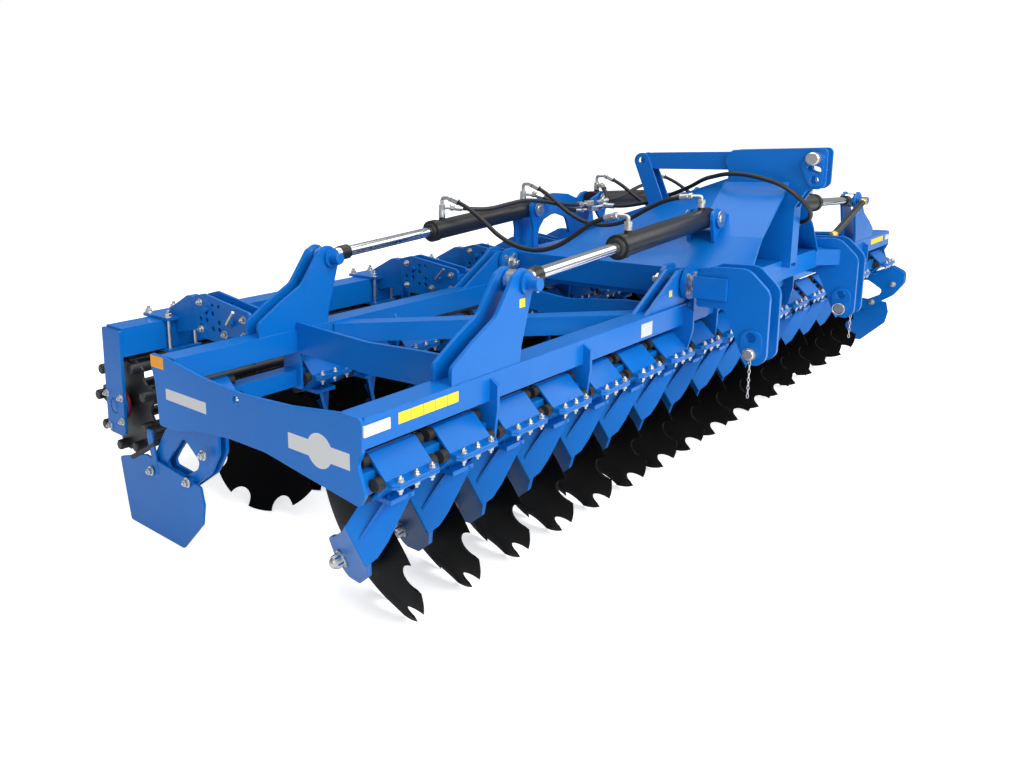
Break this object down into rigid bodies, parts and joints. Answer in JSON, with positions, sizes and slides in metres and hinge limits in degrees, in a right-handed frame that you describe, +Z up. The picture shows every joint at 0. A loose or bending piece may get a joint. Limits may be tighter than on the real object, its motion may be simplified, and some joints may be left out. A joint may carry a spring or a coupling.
{
  "type": "disc harrow",
  "caption": "Folding three-point disc harrow with two rows of notched discs on rubber-sprung arms, a tube roller behind and hydraulic wings",
  "frame": {"origin": "on the floor, at the middle of the bounding box", "axes": "+X to the machine's left, -Y forward, the way it is pulled, +Z up"},
  "size_m": [4.54, 1.9779, 1.2816],
  "materials": {
    "blue_paint": "gloss",
    "black_paint": "satin",
    "disc_steel": "satin",
    "rubber_rods": "matt",
    "chrome_rod": "polished",
    "zinc_plate": "satin",
    "hose_rubber": "satin"
  },
  "bodies": {
    "centre": {"arms_centre": "blue_paint", "centre_frame": "blue_paint", "hitch_brackets": "blue_paint", "hitch_pins": "zinc_plate", "hood": "blue_paint", "hoses_centre": "hose_rubber", "roller_frame_centre": "blue_paint", "rubbers_centre": "rubber_rods", "tower": "blue_paint"},
    "wing_right": {"arms_right": "blue_paint", "deflector_right": "blue_paint", "roller_frame_right": "blue_paint", "rubbers_right": "rubber_rods", "wing_frame_right": "blue_paint"},
    "barrels_right": {"barrels_right": "black_paint", "hoses_right": "hose_rubber"},
    "rods_right": {"rods_right": "chrome_rod"},
    "roller_right": {"roller_right": "black_paint"},
    "wing_left": {"arms_left": "blue_paint", "deflector_left": "blue_paint", "roller_frame_left": "blue_paint", "rubbers_left": "rubber_rods", "wing_frame_left": "blue_paint"},
    "barrels_left": {"barrels_left": "black_paint", "hoses_left": "hose_rubber"},
    "rods_left": {"rods_left": "chrome_rod"},
    "roller_left": {"roller_left": "black_paint"},
    "roller_centre": {"roller_centre": "black_paint"},
    "disc_front_01": {"disc_front_01": "disc_steel"},
    "disc_front_02": {"disc_front_02": "disc_steel"},
    "disc_front_03": {"disc_front_03": "disc_steel"},
    "disc_front_04": {"disc_front_04": "disc_steel"},
    "disc_front_05": {"disc_front_05": "disc_steel"},
    "disc_front_06": {"disc_front_06": "disc_steel"},
    "disc_front_07": {"disc_front_07": "disc_steel"},
    "disc_front_08": {"disc_front_08": "disc_steel"},
    "disc_front_09": {"disc_front_09": "disc_steel"},
    "disc_front_10": {"disc_front_10": "disc_steel"},
    "disc_front_11": {"disc_front_11": "disc_steel"},
    "disc_front_12": {"disc_front_12": "disc_steel"},
    "disc_front_13": {"disc_front_13": "disc_steel"},
    "disc_front_14": {"disc_front_14": "disc_steel"},
    "disc_front_15": {"disc_front_15": "disc_steel"},
    "disc_front_16": {"disc_front_16": "disc_steel"},
    "disc_rear_01": {"disc_rear_01": "disc_steel"},
    "disc_rear_02": {"disc_rear_02": "disc_steel"},
    "disc_rear_03": {"disc_rear_03": "disc_steel"},
    "disc_rear_04": {"disc_rear_04": "disc_steel"},
    "disc_rear_05": {"disc_rear_05": "disc_steel"},
    "disc_rear_06": {"disc_rear_06": "disc_steel"},
    "disc_rear_07": {"disc_rear_07": "disc_steel"},
    "disc_rear_08": {"disc_rear_08": "disc_steel"},
    "disc_rear_09": {"disc_rear_09": "disc_steel"},
    "disc_rear_10": {"disc_rear_10": "disc_steel"},
    "disc_rear_11": {"disc_rear_11": "disc_steel"},
    "disc_rear_12": {"disc_rear_12": "disc_steel"},
    "disc_rear_13": {"disc_rear_13": "disc_steel"},
    "disc_rear_14": {"disc_rear_14": "disc_steel"},
    "disc_rear_15": {"disc_rear_15": "disc_steel"},
    "disc_rear_16": {"disc_rear_16": "disc_steel"}
  },
  "joints": [
    {"name": "wing_right_fold", "type": "hinge", "parent": "centre", "child": "wing_right", "pos_m": [-0.502, -0.633, 0.796], "axis": [0, 1, 0], "range_deg": [0, 90], "deforming": ["hoses_right"]},
    {"name": "wing_left_fold", "type": "hinge", "parent": "centre", "child": "wing_left", "pos_m": [0.502, -0.633, 0.796], "axis": [0, -1, 0], "range_deg": [0, 90], "deforming": ["hoses_left"]},
    {"name": "barrels_right_swing", "type": "hinge", "parent": "centre", "child": "barrels_right", "pos_m": [-0.289, -0.633, 1.018], "axis": [0, 1, 0], "range_deg": [0, 90]},
    {"name": "rods_right_slide", "type": "slide", "parent": "barrels_right", "child": "rods_right", "axis": [-0.9986, 0, -0.0533], "range_m": [-0.436, 0]},
    {"name": "barrels_left_swing", "type": "hinge", "parent": "centre", "child": "barrels_left", "pos_m": [0.289, -0.633, 1.018], "axis": [0, -1, 0], "range_deg": [0, 90]},
    {"name": "rods_left_slide", "type": "slide", "parent": "barrels_left", "child": "rods_left", "axis": [0.9986, 0, -0.0533], "range_m": [-0.436, 0]},
    {"name": "roller_right_spin", "type": "hinge", "parent": "wing_right", "child": "roller_right", "pos_m": [-1.3425, 0.794, 0.39], "axis": [1, 0, 0], "continuous": true},
    {"name": "roller_centre_spin", "type": "hinge", "parent": "centre", "child": "roller_centre", "pos_m": [0, 0.794, 0.39], "axis": [1, 0, 0], "continuous": true},
    {"name": "roller_left_spin", "type": "hinge", "parent": "wing_left", "child": "roller_left", "pos_m": [1.3425, 0.794, 0.39], "axis": [1, 0, 0], "continuous": true},
    {"name": "disc_front_01_spin", "type": "hinge", "parent": "wing_right", "child": "disc_front_01", "pos_m": [-2.023, -0.454, 0.23715], "axis": [0.9018, -0.2843, 0.3256], "continuous": true},
    {"name": "disc_front_02_spin", "type": "hinge", "parent": "wing_right", "child": "disc_front_02", "pos_m": [-1.773, -0.454, 0.23715], "axis": [0.9018, -0.2843, 0.3256], "continuous": true},
    {"name": "disc_front_03_spin", "type": "hinge", "parent": "wing_right", "child": "disc_front_03", "pos_m": [-1.523, -0.454, 0.23715], "axis": [0.9018, -0.2843, 0.3256], "continuous": true},
    {"name": "disc_front_04_spin", "type": "hinge", "parent": "wing_right", "child": "disc_front_04", "pos_m": [-1.273, -0.454, 0.23715], "axis": [0.9018, -0.2843, 0.3256], "continuous": true},
    {"name": "disc_front_05_spin", "type": "hinge", "parent": "wing_right", "child": "disc_front_05", "pos_m": [-1.023, -0.454, 0.23715], "axis": [0.9018, -0.2843, 0.3256], "continuous": true},
    {"name": "disc_front_06_spin", "type": "hinge", "parent": "wing_right", "child": "disc_front_06", "pos_m": [-0.773, -0.454, 0.23715], "axis": [0.9018, -0.2843, 0.3256], "continuous": true},
    {"name": "disc_front_07_spin", "type": "hinge", "parent": "wing_right", "child": "disc_front_07", "pos_m": [-0.523, -0.454, 0.23715], "axis": [0.9018, -0.2843, 0.3256], "continuous": true},
    {"name": "disc_front_08_spin", "type": "hinge", "parent": "centre", "child": "disc_front_08", "pos_m": [-0.273, -0.454, 0.23715], "axis": [0.9018, -0.2843, 0.3256], "continuous": true},
    {"name": "disc_front_09_spin", "type": "hinge", "parent": "centre", "child": "disc_front_09", "pos_m": [-0.023, -0.454, 0.23715], "axis": [0.9018, -0.2843, 0.3256], "continuous": true},
    {"name": "disc_front_10_spin", "type": "hinge", "parent": "centre", "child": "disc_front_10", "pos_m": [0.227, -0.454, 0.23715], "axis": [0.9018, -0.2843, 0.3256], "continuous": true},
    {"name": "disc_front_11_spin", "type": "hinge", "parent": "centre", "child": "disc_front_11", "pos_m": [0.477, -0.454, 0.23715], "axis": [0.9018, -0.2843, 0.3256], "continuous": true},
    {"name": "disc_front_12_spin", "type": "hinge", "parent": "wing_left", "child": "disc_front_12", "pos_m": [0.727, -0.454, 0.23715], "axis": [0.9018, -0.2843, 0.3256], "continuous": true},
    {"name": "disc_front_13_spin", "type": "hinge", "parent": "wing_left", "child": "disc_front_13", "pos_m": [0.977, -0.454, 0.23715], "axis": [0.9018, -0.2843, 0.3256], "continuous": true},
    {"name": "disc_front_14_spin", "type": "hinge", "parent": "wing_left", "child": "disc_front_14", "pos_m": [1.227, -0.454, 0.23715], "axis": [0.9018, -0.2843, 0.3256], "continuous": true},
    {"name": "disc_front_15_spin", "type": "hinge", "parent": "wing_left", "child": "disc_front_15", "pos_m": [1.477, -0.454, 0.23715], "axis": [0.9018, -0.2843, 0.3256], "continuous": true},
    {"name": "disc_front_16_spin", "type": "hinge", "parent": "wing_left", "child": "disc_front_16", "pos_m": [1.727, -0.454, 0.23715], "axis": [0.9018, -0.2843, 0.3256], "continuous": true},
    {"name": "disc_rear_01_spin", "type": "hinge", "parent": "wing_right", "child": "disc_rear_01", "pos_m": [-1.727, 0.366, 0.24111], "axis": [-0.9018, -0.2843, 0.3256], "continuous": true},
    {"name": "disc_rear_02_spin", "type": "hinge", "parent": "wing_right", "child": "disc_rear_02", "pos_m": [-1.477, 0.366, 0.24111], "axis": [-0.9018, -0.2843, 0.3256], "continuous": true},
    {"name": "disc_rear_03_spin", "type": "hinge", "parent": "wing_right", "child": "disc_rear_03", "pos_m": [-1.227, 0.366, 0.24111], "axis": [-0.9018, -0.2843, 0.3256], "continuous": true},
    {"name": "disc_rear_04_spin", "type": "hinge", "parent": "wing_right", "child": "disc_rear_04", "pos_m": [-0.977, 0.366, 0.24111], "axis": [-0.9018, -0.2843, 0.3256], "continuous": true},
    {"name": "disc_rear_05_spin", "type": "hinge", "parent": "wing_right", "child": "disc_rear_05", "pos_m": [-0.727, 0.366, 0.24111], "axis": [-0.9018, -0.2843, 0.3256], "continuous": true},
    {"name": "disc_rear_06_spin", "type": "hinge", "parent": "centre", "child": "disc_rear_06", "pos_m": [-0.477, 0.366, 0.24111], "axis": [-0.9018, -0.2843, 0.3256], "continuous": true},
    {"name": "disc_rear_07_spin", "type": "hinge", "parent": "centre", "child": "disc_rear_07", "pos_m": [-0.227, 0.366, 0.24111], "axis": [-0.9018, -0.2843, 0.3256], "continuous": true},
    {"name": "disc_rear_08_spin", "type": "hinge", "parent": "centre", "child": "disc_rear_08", "pos_m": [0.023, 0.366, 0.24111], "axis": [-0.9018, -0.2843, 0.3256], "continuous": true},
    {"name": "disc_rear_09_spin", "type": "hinge", "parent": "centre", "child": "disc_rear_09", "pos_m": [0.273, 0.366, 0.24111], "axis": [-0.9018, -0.2843, 0.3256], "continuous": true},
    {"name": "disc_rear_10_spin", "type": "hinge", "parent": "wing_left", "child": "disc_rear_10", "pos_m": [0.523, 0.366, 0.24111], "axis": [-0.9018, -0.2843, 0.3256], "continuous": true},
    {"name": "disc_rear_11_spin", "type": "hinge", "parent": "wing_left", "child": "disc_rear_11", "pos_m": [0.773, 0.366, 0.24111], "axis": [-0.9018, -0.2843, 0.3256], "continuous": true},
    {"name": "disc_rear_12_spin", "type": "hinge", "parent": "wing_left", "child": "disc_rear_12", "pos_m": [1.023, 0.366, 0.24111], "axis": [-0.9018, -0.2843, 0.3256], "continuous": true},
    {"name": "disc_rear_13_spin", "type": "hinge", "parent": "wing_left", "child": "disc_rear_13", "pos_m": [1.273, 0.366, 0.24111], "axis": [-0.9018, -0.2843, 0.3256], "continuous": true},
    {"name": "disc_rear_14_spin", "type": "hinge", "parent": "wing_left", "child": "disc_rear_14", "pos_m": [1.523, 0.366, 0.24111], "axis": [-0.9018, -0.2843, 0.3256], "continuous": true},
    {"name": "disc_rear_15_spin", "type": "hinge", "parent": "wing_left", "child": "disc_rear_15", "pos_m": [1.773, 0.366, 0.24111], "axis": [-0.9018, -0.2843, 0.3256], "continuous": true},
    {"name": "disc_rear_16_spin", "type": "hinge", "parent": "wing_left", "child": "disc_rear_16", "pos_m": [2.023, 0.366, 0.24111], "axis": [-0.9018, -0.2843, 0.3256], "continuous": true}
  ],
  "couplings": [
    {"joint": "barrels_right_swing", "follows": "wing_right_fold", "ratio": 0.98956},
    {"joint": "rods_right_slide", "follows": "wing_right_fold", "m_per_rad": -0.27674},
    {"joint": "barrels_left_swing", "follows": "wing_left_fold", "ratio": 0.98956},
    {"joint": "rods_left_slide", "follows": "wing_left_fold", "m_per_rad": -0.27674}
  ]
}
